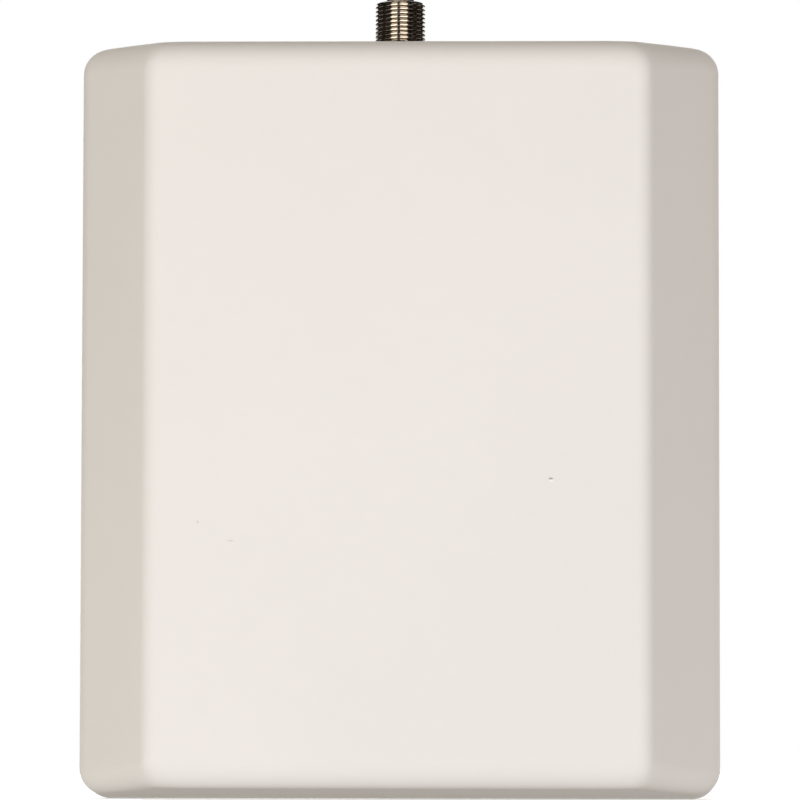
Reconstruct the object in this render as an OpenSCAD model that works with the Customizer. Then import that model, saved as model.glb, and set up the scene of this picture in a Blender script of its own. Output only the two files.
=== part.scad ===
// Flat panel antenna: a moulded radome over a reflector, a driven pair and a director, fed through
// a threaded coaxial socket in its top wall. Millimetres, +Z up, front towards -Y, origin at the
// centre of the rear face that meets the wall.
// Each piece is drawn in a panel frame (X across, Y up the panel, Z from the wall to the front)
// and then stood upright.

/* [Housing] */
// width across the rear rim
panel_w = 122; // [116:0.5:130]
// height of the rear rim
panel_h = 144.4; // [138:0.2:160]
// depth from the wall face to the flat front
panel_d = 38; // [36:0.5:46]
// width of the flat front before its edges are rounded
front_w = 93.3; // [86:0.1:100]
// depth of the straight skirt behind the side bevels
skirt_d = 16.2; // [13:0.2:19]
// taper of the top and bottom walls, in degrees
wall_taper = 3.5; // [2:0.1:5]
// thickness of the moulded walls
wall_t = 2.5; // [2.2:0.1:3]
// rounding of the front edges
front_round = 4; // [3.2:0.1:5]
// reach of that rounding down the top and bottom edges
end_round = 5.2; // [3.2:0.1:6.5]
// rounding between skirt and bevel
skirt_round = 10; // [6:0.5:14]
// rounding of the four corners
corner_round = 4.8; // [4.2:0.1:7]

/* [Rear cover] */
// thickness of the cover plate
cover_t = 2.5; // [2:0.1:3.2]
// gap between the cover's edge and the radome's rim
cover_gap = 0.25; // [0.1:0.05:0.5]
// thickness of the rim left beside the cover
rim_t = 1; // [0.8:0.1:1.3]
// thickness of the seal pressed between cover and radome
seal_t = 1; // [0.6:0.1:1.4]
// outside width of the corner screw bosses
boss_d = 7.6; // [6.6:0.1:8.4]
// distance from the inner walls to a boss axis
boss_inset = 5; // [4.4:0.1:6]
// shank width of the cover screws
cover_screw_d = 2.9; // [2.5:0.1:3.5]
// head width of the cover screws
cover_head_d = 5.6; // [5:0.1:6.2]
// length of the cover screws
cover_screw_l = 11; // [9:0.5:12]
// width of the bare recess for a label
label_w = 44; // [30:1:60]
// height of the bare recess for a label
label_h = 20; // [12:1:26]
// depth of the bare recess for a label
label_t = 0.4; // [0.2:0.1:0.6]

/* [Bracket mount] */
// spacing of the bracket inserts across the panel
bracket_x = 50; // [40:1:60]
// spacing of the bracket inserts up the panel
bracket_z = 50; // [40:1:60]
// outside width of an insert
insert_d = 5.6; // [5:0.1:6.4]
// length of an insert
insert_l = 6; // [5:0.1:6.5]
// core width of the insert's M4 thread
insert_bore = 3.3; // [2.5:0.1:4.2]

/* [Reflector] */
// gap between cover plate and reflector
reflector_gap = 6; // [5.6:0.1:7]
// thickness of the sheet
reflector_t = 1; // [0.8:0.1:1.4]
// gap between the reflector's sides and the radome
reflector_side_gap = 5.5; // [5:0.1:8]
// height of the bent edges
flange_h = 8; // [5:0.5:9]
// width of the tab that carries the socket
tab_w = 22; // [18:0.5:28]

/* [Driven pair and director] */
// gap between the two arms at the feed
feed_gap = 6; // [4:0.5:8]
// thickness of the arm sheet
arm_t = 0.8; // [0.6:0.1:1.2]
// width of an arm at the feed
arm_root_w = 18; // [16:0.5:24]
// width of an arm at its tip
arm_tip_w = 72; // [62:1:78]
// distance from an arm's tip to the reflector's edge
arm_end_gap = 6; // [4:0.5:10]
// width of the slot along each arm
slot_w = 5; // [3:0.5:7]
// width of the brass feed posts
post_d = 6; // [5:0.1:7]
// distance between the feed posts
post_span = 18; // [16:0.5:22]
// gap between arms and director
director_gap = 5; // [4.6:0.1:6]
// thickness of the director plate
director_t = 1; // [0.8:0.1:1.4]
// clear depth left in front of the director's screws
front_clear = 1.7; // [1.2:0.1:2.4]

/* [Spacers and screws] */
// distance between the stack screws up the panel
stack_span = 80; // [70:1:88]
// outside width of the nylon spacers
spacer_d = 7; // [6:0.1:8]
// thread width of the inner screws
screw_d = 3; // [2.5:0.1:3.4]
// head width of the inner screws
screw_head_d = 5.6; // [5:0.1:6]
// head height of the inner screws
screw_head_h = 2; // [1.6:0.1:2.3]
// width across flats of the stack nuts
stack_nut_af = 5.5; // [5:0.1:6.5]
// thickness of the stack nuts
stack_nut_t = 2.4; // [2:0.1:2.8]

/* [Cable] */
// width over the cable jacket
cable_d = 2.6; // [2.2:0.1:3]
// width over the braid
braid_d = 1.9; // [1.6:0.1:2.1]
// width over the dielectric
dielectric_d = 1.5; // [1:0.1:1.8]
// width of the centre conductor
wire_d = 0.8; // [0.5:0.1:0.9]

/* [Socket] */
// outside width of the thread, 3/8 inch
thread_d = 9.525; // [8.5:0.005:10.5]
// pitch of the thread, 32 to the inch
thread_pitch = 0.794; // [0.7:0.002:0.9]
// height of the thread above the top wall
thread_reach = 8.8; // [7:0.1:11]
// outside width of the nose
nose_d = 5.5; // [5:0.1:6]
// height of the nose above the thread
nose_l = 0.8; // [0.4:0.1:1.5]
// width across flats of the socket's shoulder
hex_af = 11.1; // [10.6:0.1:12.5]
// thickness of the socket's shoulder
hex_t = 4; // [3:0.1:5]
// thickness of the nut that holds the socket
jam_nut_t = 2.2; // [1.6:0.1:3]
// thickness of the toothed washer
washer_t = 0.6; // [0.4:0.1:1]
// outside width of the rubber bush in the wall
seal_d = 10.1; // [9.9:0.1:11]
// height of the rubber bush above the wall
seal_proud = 0.7; // [0.6:0.1:1.6]

/* [Hidden] */
$fn = 48;

// clearances
slip = 0.1;
hole_gap = 0.2;
over = 1;

// outline of the housing
half_w = panel_w / 2;
half_h = panel_h / 2;
bevel_run = half_w - front_w / 2;
bevel_rise = panel_d - skirt_d;
bevel_a = atan(bevel_rise / bevel_run);
bevel_lean = atan(bevel_run / bevel_rise);
bevel_slope = bevel_run / bevel_rise;
corner_steps = 8;
arc_steps = 4;
min_round = 0.6;

// layers, from the wall to the front
ledge_z = cover_t + seal_t;
reflector_z = cover_t + reflector_gap;
reflector_front = reflector_z + reflector_t;
director_z = panel_d - wall_t - front_clear - screw_head_h - director_t;
director_front = director_z + director_t;
arm_z = director_z - director_gap - arm_t;
arm_front = arm_z + arm_t;
spacer_l = arm_z - reflector_front;

// cover and bosses
seal_edge = 0.15;
boss_x = half_w - wall_t - boss_inset;
boss_y = half_h - wall_t - boss_inset;
boss_drop = 1;
boss_top = skirt_d - boss_drop;
boss_bore_l = cover_screw_l - ledge_z + over;
rib_t = 2;
rib_bite = 0.5;
cover_head_h = (cover_head_d - cover_screw_d) / 2;
head_play = 0.4;
screw_tip = 2;
label_drop = 18;
insert_wall = 1.8;
insert_roof = 1;
groove_l = 1.2;
groove_depth = 0.2;

// socket along the panel's Y axis
socket_lift = 1;
seal_flange_d = 14;
seal_flange_t = 2;
seal_gap = 0.15;
socket_z = reflector_front + hex_af / 2 + socket_lift;
wall_y = top_half(socket_z, 0);
tab_y = top_half(socket_z + seal_flange_d / 2, wall_t) - seal_gap - seal_flange_t - jam_nut_t - washer_t;
tab_in = tab_y - reflector_t;
nut_y = tab_y + washer_t;
nut_top = nut_y + jam_nut_t;
neck_start = nut_top - hole_gap;
neck_end = wall_y + seal_proud + slip;
thread_end = wall_y + thread_reach;
spigot_l = 5;
spigot_start = tab_in - hex_t - spigot_l;
spigot_d = 3.2;
spigot_bore = 1.8;
thread_crest = thread_pitch / 8;
thread_ratio = 0.6134;
flank_a = 30;
thread_depth = thread_pitch * thread_ratio;
thread_flank = thread_depth * tan(flank_a);
thread_root = thread_pitch - thread_crest - 2 * thread_flank;
core_d = thread_d - 2 * thread_depth;
thread_mid = thread_d - thread_depth;
socket_bore = 4.2;
bore_floor = 3;
bore_l = thread_end - tab_in - bore_floor;
contact_d = 2.8;
contact_bore = 1.1;
mouth_d = 1.7;
contact_sink = 1;
pin_d = 0.8;
ferrule_wall = 0.6;
ferrule_l = 11;
ferrule_gap = 0.5;
washer_d = 12.6;
washer_teeth = 10;
tooth_w = 1.2;
tooth_l = 0.9;

// reflector
reflector_hw = half_w - wall_t - reflector_side_gap;
reflector_hh = tab_y;
notch_gap = 0.8;
notch_x = boss_x - boss_d / 2 - notch_gap;
notch_y = boss_y - boss_d / 2 - notch_gap;
tab_rise = 7;
tab_top = socket_z + tab_rise;
fix_inset_x = 15;
fix_inset_y = 14;
fix_x = reflector_hw - fix_inset_x;
fix_y = reflector_hh - fix_inset_y;
fix_post_d = 8;
fix_screw_l = 5;
fix_depth = fix_screw_l + over;

// driven pair and director
arm_tip_y = reflector_hh - arm_end_gap;
arm_root_y = feed_gap / 2;
arm_chamfer = 8;
stack_edge = 5.2;
stack_y = stack_span / 2;
stack_x = arm_half(stack_y) - stack_edge;
post_y = post_span / 2;
slot_from_post = 12;
slot_tip_gap = 8;
slot_start = post_y + slot_from_post;
slot_end = arm_tip_y - slot_tip_gap;
post_bore_l = 6;
post_screw_l = 5;
director_edge_x = 6;
director_edge_y = 8;
director_hw = stack_x + director_edge_x;
director_hh = stack_y + director_edge_y;
director_corner = 4;
stack_tail = 1;
cross_w = 0.8;
cross_depth = 1;
cross_share = 0.6;
head_top_share = 0.8;
hex_corner = cos(30);

// cable route, in the panel frame
feed_x = 5.5;
feed_drop = 1.5;
feed_y = post_y - feed_drop;
turn_r = 9.5;
lay_run = 18;
lay_z = reflector_front + cable_d / 2 + hole_gap;
lay_y = feed_y + lay_run;
straight_run = 8;
cable_start = spigot_start - ferrule_gap;
drop_y = cable_start - straight_run;
braid_bare = 1.2;
braid_stub = 0.6;
dielectric_bare = 1.2;
wire_rise = 1.4;
jacket_end = arm_z - braid_bare;
braid_end = arm_front + braid_stub;
dielectric_end = braid_end + dielectric_bare;
wire_top = dielectric_end + wire_rise;
solder_foot = 2;
solder_top = 0.8;
wire_bend = 0.8;
wire_tail = 0.6;
route_steps = 3;
sweep_steps = 4;
turn_steps = 3;
cable_sides = 12;
cable_route = concat(
    [[0, cable_start, socket_z]],
    [for (k = [0:sweep_steps]) let (f = k / sweep_steps)
        [feed_x * ease(f), drop_y + (lay_y - drop_y) * f, socket_z + (lay_z - socket_z) * ease(f)]],
    [for (k = [0:turn_steps]) let (g = 90 * k / turn_steps)
        [feed_x, feed_y + turn_r * (1 - sin(g)), lay_z + turn_r * (1 - cos(g))]],
    [[feed_x, feed_y, jacket_end]]);
wire_route = [
    [feed_x, feed_y, dielectric_end],
    [feed_x, feed_y, wire_top - wire_bend],
    [feed_x, feed_y - wire_bend, wire_top],
    [feed_x, wire_bend - feed_y, wire_top],
    [feed_x, -feed_y, wire_top - wire_bend],
    [feed_x, -feed_y, arm_z - wire_tail]];
saddle_from_feed = 14;
saddle_y = feed_y + saddle_from_feed;
saddle_l = 5;
saddle_side = 1.6;
saddle_peg_d = 2.9;
saddle_foot = 6;
saddle_peg_x = feed_x + saddle_foot;
saddle_barb = 0.4;

// smooth step from 0 to 1
function ease(f) = f * f * (3 - 2 * f);

// half width of an arm at a height up the panel
function arm_half(y) =
    (arm_root_w + (arm_tip_w - arm_root_w) * (y - arm_root_y) / (arm_tip_y - arm_root_y)) / 2;

// half width of the housing at depth z, set in by w from the outer skin
function side_half(z, w) =
    let (rs = max(skirt_round - w, min_round), rf = max(front_round - w, min_round),
        zs = skirt_d - w * (1 / sin(bevel_a) - 1) / bevel_slope,
        ts = rs * tan(bevel_lean / 2),
        zf = panel_d - w,
        tf = rf * tan(bevel_a / 2),
        line = half_w - (z - skirt_d) * bevel_slope - w / sin(bevel_a),
        front = half_w - (zf - skirt_d) * bevel_slope - w / sin(bevel_a))
    z <= zs - ts ? half_w - w
        : z < zs + ts * sin(bevel_a) ? half_w - w - rs + sqrt(rs * rs - pow(z - zs + ts, 2))
        : z <= zf - tf * sin(bevel_a) ? line
        : front - tf + sqrt(max(0, rf * rf - pow(z - zf + rf, 2)));

// half height of the housing before its front rounding
function top_line(z, w) = half_h - z * tan(wall_taper) - w / cos(wall_taper);

// half height of the housing at depth z, set in by w from the outer skin
function top_half(z, w) =
    let (rf = max(front_round - w, min_round), share = min(1, max(0, (z - panel_d + w + rf) / rf)))
    top_line(z, w) - rf * end_round / front_round * (1 - sqrt(1 - share * share));

// corner rounding of the housing at depth z, which shrinks over the front rounding
function corner_at(z, w) =
    max(corner_round - w - (top_line(z, w) - top_half(z, w)) * front_round / end_round, min_round);

// points of a rounded rectangle
function ring2(a, h, r) = [for (q = [0:3]) for (k = [0:corner_steps])
    let (g = 90 * (q + k / corner_steps))
    [(q == 0 || q == 3 ? a - r : r - a) + r * cos(g), (q < 2 ? h - r : r - h) + r * sin(g)]];

// one cross-section ring of the housing at depth z
function skin_ring(z, w) = [for (p = ring2(side_half(z, w), top_half(z, w), corner_at(z, w)))
    [p[0], p[1], z]];

// depths at which the housing's skin needs a ring, from z0 to the front
function skin_levels(z0, w) =
    let (rs = max(skirt_round - w, min_round), rf = max(front_round - w, min_round),
        zs = skirt_d - w * (1 / sin(bevel_a) - 1) / bevel_slope,
        ts = rs * tan(bevel_lean / 2), zc = panel_d - w - rf)
    concat([z0],
        [for (k = [0:arc_steps]) zs - ts + rs * sin(bevel_lean * k / arc_steps)],
        [for (k = [0:arc_steps - 1]) zc + rf * sin(wall_taper + (bevel_lean - wall_taper) * k / arc_steps)],
        [for (k = [0:arc_steps + 1]) zc + rf * sin(bevel_lean + bevel_a * k / (arc_steps + 1))]);

// point on a smooth curve through four points
function curve(a, b, c, d, u) = (2 * b + (c - a) * u + (2 * a - 5 * b + 4 * c - d) * u * u
    + (3 * b - a - 3 * c + d) * u * u * u) / 2;

// points of a smooth curve through a route
function smooth_route(p) = let (n = len(p)) concat(
    [for (i = [0:n - 2]) for (k = [0:route_steps - 1])
        curve(p[max(i - 1, 0)], p[i], p[i + 1], p[min(i + 2, n - 1)], k / route_steps)],
    [p[n - 1]]);

function unit(v) = v / norm(v);

// rings of a round rod along a route that never runs along X
function rod_rings(p, r, sides) = let (n = len(p)) [for (i = [0:n - 1])
    let (t = unit(p[min(i + 1, n - 1)] - p[max(i - 1, 0)]), u = unit(cross(t, [1, 0, 0])), v = cross(t, u))
    [for (k = [0:sides - 1]) let (g = 360 * k / sides) p[i] + r * (cos(g) * u + sin(g) * v)]];

// outline of one thread ridge on the socket's axis
function ridge(s) = [[core_d / 2, s], [core_d / 2, s + thread_root / 2],
    [thread_d / 2, s + thread_root / 2 + thread_flank],
    [thread_d / 2, s + thread_root / 2 + thread_flank + thread_crest],
    [core_d / 2, s + thread_pitch - thread_root / 2]];

// ridges that fit between two places on the axis, counted from the far one
function ridges(a, b) = let (n = floor((b - a) / thread_pitch))
    [for (i = [0:n - 1]) for (p = ridge(b - (n - i) * thread_pitch)) p];

// stands a piece up from the panel frame
module upright() {
    rotate([90, 0, 0]) children();
}

// places a piece on the socket's axis, its own Z pointing up the panel
module on_socket(y) {
    translate([0, y, socket_z]) rotate([-90, 0, 0]) children();
}

// a closed skin through a list of rings
module loft(rings) {
    n = len(rings[0]);
    m = len(rings);
    points = [for (r = rings) for (p = r) p];
    sides = [for (i = [0:m - 2]) for (j = [0:n - 1]) for (half = [0, 1])
        let (a = i * n + j, b = i * n + (j + 1) % n)
        half == 0 ? [a, a + n, b + n] : [a, b + n, b]];
    polyhedron(points, concat([[for (j = [0:n - 1]) j]], sides,
        [[for (j = [n - 1:-1:0]) (m - 1) * n + j]]));
}

// a plate with rounded corners
module plate(a, h, r, t) {
    linear_extrude(t) polygon(ring2(a, h, r));
}

module at_corners(x, y) {
    for (i = [-1, 1]) {
        for (j = [-1, 1]) {
            translate([i * x, j * y, 0]) children();
        }
    }
}

// cross recess cut into a screw head from z = 0 downwards
module cross_cut(d) {
    for (g = [0, 90]) {
        rotate([0, 0, g]) translate([-d / 2, -cross_w / 2, -cross_depth])
            cube([d, cross_w, cross_depth + over]);
    }
}

// pan-head screw, head on z = 0 and shank below it
module pan_screw(l) {
    difference() {
        union() {
            translate([0, 0, -l]) cylinder(d = screw_d, h = l + slip);
            cylinder(d1 = screw_head_d, d2 = screw_head_d * head_top_share, h = screw_head_h);
        }
        translate([0, 0, screw_head_h]) cross_cut(screw_head_d * cross_share);
    }
}

module radome() {
    inner = skin_levels(ledge_z, wall_t);
    outer = skin_levels(0, 0);
    last = len(inner) - 1;
    color("ivory") upright() difference() {
        union() {
            loft(concat([for (i = [last:-1:0]) skin_ring(inner[i], wall_t)],
                [skin_ring(ledge_z, rim_t), skin_ring(0, rim_t)],
                [for (z = outer) skin_ring(z, 0)]));
            at_corners(boss_x, boss_y) translate([0, 0, ledge_z])
                cylinder(d = boss_d, h = boss_top - ledge_z);
            for (i = [-1, 1]) {
                for (j = [-1, 1]) {
                    radome_rib(i, j);
                }
            }
        }
        at_corners(boss_x, boss_y) translate([0, 0, ledge_z - over])
            cylinder(d = cover_screw_d + slip, h = boss_bore_l + over);
        on_socket(tab_y) cylinder(d = seal_d + slip, h = wall_y - tab_y + over);
    }
}

// two short ribs that tie a boss to the skirt and to the end wall
module radome_rib(i, j) {
    rib_h = boss_top - ledge_z;
    rib_x = half_w - wall_t + rib_bite - boss_x;
    rib_y = top_half(ledge_z, wall_t) + rib_bite - boss_y;
    translate([i * (boss_x + rib_x / 2), j * boss_y, ledge_z + rib_h / 2])
        cube([rib_x, rib_t, rib_h], center = true);
    translate([i * boss_x, j * (boss_y + rib_y / 2), ledge_z + rib_h / 2])
        cube([rib_t, rib_y, rib_h], center = true);
}

module rear_cover() {
    edge = rim_t + cover_gap;
    color("white") upright() difference() {
        union() {
            plate(half_w - edge, top_half(cover_t, edge), corner_round - edge, cover_t);
            at_corners(fix_x, fix_y) cylinder(d = fix_post_d, h = reflector_z);
            at_corners(bracket_x / 2, bracket_z / 2)
                cylinder(d = insert_d + 2 * insert_wall, h = insert_l + insert_roof);
        }
        at_corners(fix_x, fix_y) translate([0, 0, reflector_z - fix_depth])
            cylinder(d = screw_d + slip, h = fix_depth + over);
        at_corners(bracket_x / 2, bracket_z / 2) translate([0, 0, -over])
            cylinder(d = insert_d + slip, h = insert_l + over);
        at_corners(boss_x, boss_y) cover_screw_hole();
        translate([-label_w / 2, -bracket_z / 2 - label_drop - label_h / 2, -over])
            cube([label_w, label_h, label_t + over]);
    }
}

module cover_screw_hole() {
    translate([0, 0, -over]) cylinder(d = cover_screw_d + hole_gap, h = cover_t + 2 * over);
    translate([0, 0, -slip]) cylinder(d1 = cover_head_d + head_play, d2 = cover_screw_d + hole_gap,
        h = cover_head_h + 2 * slip);
}

module cover_seal() {
    outer = rim_t + seal_edge;
    inner = wall_t - seal_edge;
    color("dimgray") upright() translate([0, 0, cover_t]) difference() {
        plate(half_w - outer, top_half(ledge_z, outer), corner_round - outer, seal_t);
        translate([0, 0, -over])
            plate(half_w - inner, top_half(ledge_z, inner), corner_round - inner, seal_t + 2 * over);
    }
}

module cover_screws() {
    color("silver") upright() at_corners(boss_x, boss_y) difference() {
        union() {
            translate([0, 0, slip]) cylinder(d1 = cover_head_d, d2 = cover_screw_d, h = cover_head_h);
            translate([0, 0, cover_head_h])
                cylinder(d = cover_screw_d, h = cover_screw_l - screw_tip - cover_head_h);
            translate([0, 0, cover_screw_l - screw_tip])
                cylinder(d1 = cover_screw_d, d2 = slip, h = screw_tip);
        }
        translate([0, 0, slip]) mirror([0, 0, 1]) cross_cut(cover_head_d * cross_share);
    }
}

module bracket_inserts() {
    color("goldenrod") upright() at_corners(bracket_x / 2, bracket_z / 2) difference() {
        cylinder(d = insert_d, h = insert_l);
        translate([0, 0, -over]) cylinder(d = insert_bore, h = insert_l + 2 * over);
        translate([0, 0, (insert_l - groove_l) / 2]) difference() {
            cylinder(d = insert_d + over, h = groove_l);
            translate([0, 0, -over]) cylinder(d = insert_d - 2 * groove_depth, h = groove_l + 2 * over);
        }
    }
}

module reflector() {
    color("lightgray") upright() difference() {
        union() {
            translate([-reflector_hw, -notch_y, reflector_z])
                cube([2 * reflector_hw, 2 * notch_y, reflector_t]);
            translate([-notch_x, -reflector_hh, reflector_z])
                cube([2 * notch_x, 2 * reflector_hh, reflector_t]);
            for (i = [-1, 1]) {
                translate([i * (reflector_hw - reflector_t / 2), 0, reflector_z + flange_h / 2])
                    cube([reflector_t, 2 * notch_y, flange_h], center = true);
                translate([0, i * (reflector_hh - reflector_t / 2), reflector_z + flange_h / 2])
                    cube([2 * notch_x, reflector_t, flange_h], center = true);
            }
            translate([-tab_w / 2, tab_in, reflector_z]) cube([tab_w, reflector_t, tab_top - reflector_z]);
        }
        at_corners(fix_x, fix_y) reflector_hole();
        at_corners(stack_x, stack_y) reflector_hole();
        for (j = [-1, 1]) {
            translate([0, j * post_y, 0]) reflector_hole();
        }
        translate([saddle_peg_x, saddle_y, reflector_z - over])
            cylinder(d = saddle_peg_d + slip, h = reflector_t + 2 * over);
        on_socket(tab_in - over) cylinder(d = thread_d + hole_gap, h = reflector_t + 2 * over);
    }
}

module reflector_hole() {
    translate([0, 0, reflector_z - over]) cylinder(d = screw_d + hole_gap, h = reflector_t + 2 * over);
}

module reflector_screws() {
    color("silver") upright() at_corners(fix_x, fix_y) translate([0, 0, reflector_front])
        pan_screw(fix_screw_l + reflector_t);
}

// one arm of the driven pair, drawn above the feed gap
module arm_sheet() {
    linear_extrude(arm_t) difference() {
        polygon([[-arm_root_w / 2, arm_root_y], [arm_root_w / 2, arm_root_y],
            [arm_half(arm_tip_y - arm_chamfer), arm_tip_y - arm_chamfer],
            [arm_half(arm_tip_y - arm_chamfer) - arm_chamfer / 2, arm_tip_y],
            [arm_chamfer / 2 - arm_half(arm_tip_y - arm_chamfer), arm_tip_y],
            [-arm_half(arm_tip_y - arm_chamfer), arm_tip_y - arm_chamfer]]);
        translate([-slot_w / 2, slot_start]) square([slot_w, slot_end - slot_start]);
        translate([0, post_y]) circle(d = screw_d + hole_gap);
        for (i = [-1, 1]) {
            translate([i * stack_x, stack_y]) circle(d = screw_d + hole_gap);
        }
    }
}

module upper_arm() {
    color("peru") upright() translate([0, 0, arm_z]) difference() {
        arm_sheet();
        translate([feed_x, feed_y, -over]) cylinder(d = braid_d + hole_gap, h = arm_t + 2 * over);
    }
}

module lower_arm() {
    color("peru") upright() translate([0, 0, arm_z]) difference() {
        mirror([0, 1, 0]) arm_sheet();
        translate([feed_x, -feed_y, -over]) cylinder(d = wire_d + hole_gap, h = arm_t + 2 * over);
    }
}

module feed_post() {
    difference() {
        cylinder(d = post_d, h = spacer_l);
        translate([0, 0, -over]) cylinder(d = screw_d + slip, h = post_bore_l + over);
        translate([0, 0, spacer_l - post_bore_l]) cylinder(d = screw_d + slip, h = post_bore_l + over);
    }
}

module upper_post() {
    color("gold") upright() translate([0, post_y, reflector_front]) feed_post();
}

module lower_post() {
    color("gold") upright() translate([0, -post_y, reflector_front]) feed_post();
}

module post_screws() {
    color("silver") upright() for (j = [-1, 1]) {
        translate([0, j * post_y, arm_front]) pan_screw(post_screw_l + arm_t);
        translate([0, j * post_y, reflector_z]) mirror([0, 0, 1]) pan_screw(post_screw_l + reflector_t);
    }
}

module nylon_spacer(l) {
    difference() {
        cylinder(d = spacer_d, h = l);
        translate([0, 0, -over]) cylinder(d = screw_d + hole_gap, h = l + 2 * over);
    }
}

module arm_spacers() {
    color("whitesmoke") upright() at_corners(stack_x, stack_y) translate([0, 0, reflector_front])
        nylon_spacer(spacer_l);
}

module director() {
    color("lightsteelblue") upright() translate([0, 0, director_z]) difference() {
        plate(director_hw, director_hh, director_corner, director_t);
        at_corners(stack_x, stack_y) translate([0, 0, -over])
            cylinder(d = screw_d + hole_gap, h = director_t + 2 * over);
    }
}

module director_spacers() {
    color("whitesmoke") upright() at_corners(stack_x, stack_y) translate([0, 0, arm_front])
        nylon_spacer(director_gap);
}

module stack_screws() {
    color("beige") upright() at_corners(stack_x, stack_y) translate([0, 0, director_front])
        pan_screw(director_front - reflector_z + stack_nut_t + stack_tail);
}

module stack_nuts() {
    color("beige") upright() at_corners(stack_x, stack_y) translate([0, 0, reflector_z - stack_nut_t])
        difference() {
            cylinder(d = stack_nut_af / hex_corner, h = stack_nut_t, $fn = 6);
            translate([0, 0, -over]) cylinder(d = screw_d + slip, h = stack_nut_t + 2 * over);
        }
}

module coax_jacket() {
    color("saddlebrown") upright() loft(rod_rings(smooth_route(cable_route), cable_d / 2, cable_sides));
}

module coax_braid() {
    color("silver") upright() translate([feed_x, feed_y, jacket_end])
        cylinder(d = braid_d, h = braid_end - jacket_end);
}

module coax_dielectric() {
    color("white") upright() translate([feed_x, feed_y, braid_end])
        cylinder(d = dielectric_d, h = dielectric_end - braid_end);
}

module feed_wire() {
    color("orange") upright() loft(rod_rings(wire_route, wire_d / 2, cable_sides));
}

module solder_joints() {
    color("gainsboro") upright() {
        solder_ring(feed_y, braid_d);
        solder_ring(-feed_y, wire_d);
    }
}

// a cone of solder around a lead that comes through an arm
module solder_ring(y, lead_d) {
    cone_h = braid_end - arm_front;
    translate([feed_x, y, arm_front]) difference() {
        cylinder(d1 = lead_d + solder_foot, d2 = lead_d + solder_top, h = cone_h);
        translate([0, 0, -over]) cylinder(d = lead_d + slip / 2, h = cone_h + 2 * over);
    }
}

module cable_saddle() {
    block_w = cable_d + 2 * saddle_side;
    block_h = lay_z - reflector_front + cable_d / 2 + saddle_side;
    foot_l = saddle_peg_x - feed_x + saddle_peg_d;
    color("white") upright() difference() {
        union() {
            translate([feed_x - block_w / 2, saddle_y - saddle_l / 2, reflector_front])
                cube([block_w, saddle_l, block_h]);
            translate([feed_x, saddle_y - saddle_l / 2, reflector_front])
                cube([foot_l, saddle_l, saddle_side]);
            translate([saddle_peg_x, saddle_y, reflector_z - slip])
                cylinder(d = saddle_peg_d, h = reflector_t + over);
            translate([saddle_peg_x, saddle_y, reflector_z - saddle_side])
                cylinder(d1 = saddle_peg_d - saddle_barb, d2 = saddle_peg_d + 2 * saddle_barb,
                    h = saddle_side - slip / 2);
        }
        translate([feed_x, saddle_y + saddle_l, lay_z]) rotate([90, 0, 0])
            cylinder(d = cable_d + hole_gap, h = 2 * saddle_l);
    }
}

module connector_body() {
    color("silver") upright() difference() {
        union() {
            on_socket(tab_in - hex_t) cylinder(d = hex_af / hex_corner, h = hex_t, $fn = 6);
            on_socket(0) rotate_extrude() polygon(concat(
                [[0, spigot_start], [spigot_d / 2, spigot_start], [spigot_d / 2, tab_in - hex_t + slip],
                [thread_mid / 2, tab_in - hex_t + slip], [thread_mid / 2, neck_start],
                [core_d / 2, neck_start]],
                ridges(neck_end, thread_end),
                [[core_d / 2, thread_end], [nose_d / 2, thread_end], [nose_d / 2, thread_end + nose_l],
                [0, thread_end + nose_l]]));
        }
        on_socket(spigot_start - over) cylinder(d = spigot_bore, h = thread_end - spigot_start);
        on_socket(tab_in + bore_floor) cylinder(d = socket_bore, h = thread_end + nose_l - tab_in);
    }
}

module connector_insulator() {
    color("white") upright() on_socket(tab_in + bore_floor) difference() {
        cylinder(d = socket_bore - slip, h = bore_l + nose_l / 2);
        translate([0, 0, -over]) cylinder(d = contact_d + slip, h = bore_l - contact_sink + over);
        cylinder(d = mouth_d, h = bore_l + nose_l + over);
    }
}

module connector_contact() {
    contact_l = bore_l - contact_sink - slip;
    pin_l = tab_in + bore_floor - spigot_start - over;
    color("khaki") upright() on_socket(tab_in + bore_floor) difference() {
        union() {
            cylinder(d = contact_d, h = contact_l);
            translate([0, 0, -pin_l]) cylinder(d = pin_d, h = pin_l + over);
        }
        translate([0, 0, bore_floor]) cylinder(d = contact_bore, h = contact_l);
        translate([-contact_d, -slip, contact_l / 2]) cube([2 * contact_d, 2 * slip, contact_l]);
    }
}

module connector_nut() {
    color("silver") upright() on_socket(nut_y) difference() {
        cylinder(d = hex_af / hex_corner, h = jam_nut_t, $fn = 6);
        translate([0, 0, -over]) cylinder(d = thread_mid + hole_gap, h = jam_nut_t + 2 * over);
    }
}

module lock_washer() {
    ring_bore = thread_d + hole_gap + 2 * tooth_l;
    color("slategray") upright() on_socket(tab_y) difference() {
        cylinder(d = washer_d, h = washer_t);
        translate([0, 0, -over]) difference() {
            cylinder(d = ring_bore, h = washer_t + 2 * over);
            for (k = [0:washer_teeth - 1]) {
                rotate([0, 0, 360 * k / washer_teeth])
                    translate([thread_d / 2 + hole_gap / 2, -tooth_w / 2, -over])
                    cube([2 * tooth_l, tooth_w, washer_t + 4 * over]);
            }
        }
    }
}

module connector_seal() {
    color("black") upright() difference() {
        union() {
            on_socket(nut_top) cylinder(d = seal_flange_d, h = seal_flange_t);
            on_socket(nut_top) cylinder(d = seal_d, h = wall_y + seal_proud - nut_top);
        }
        on_socket(nut_top - over) cylinder(d = core_d + slip, h = wall_y + seal_proud - nut_top + 2 * over);
    }
}

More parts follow.
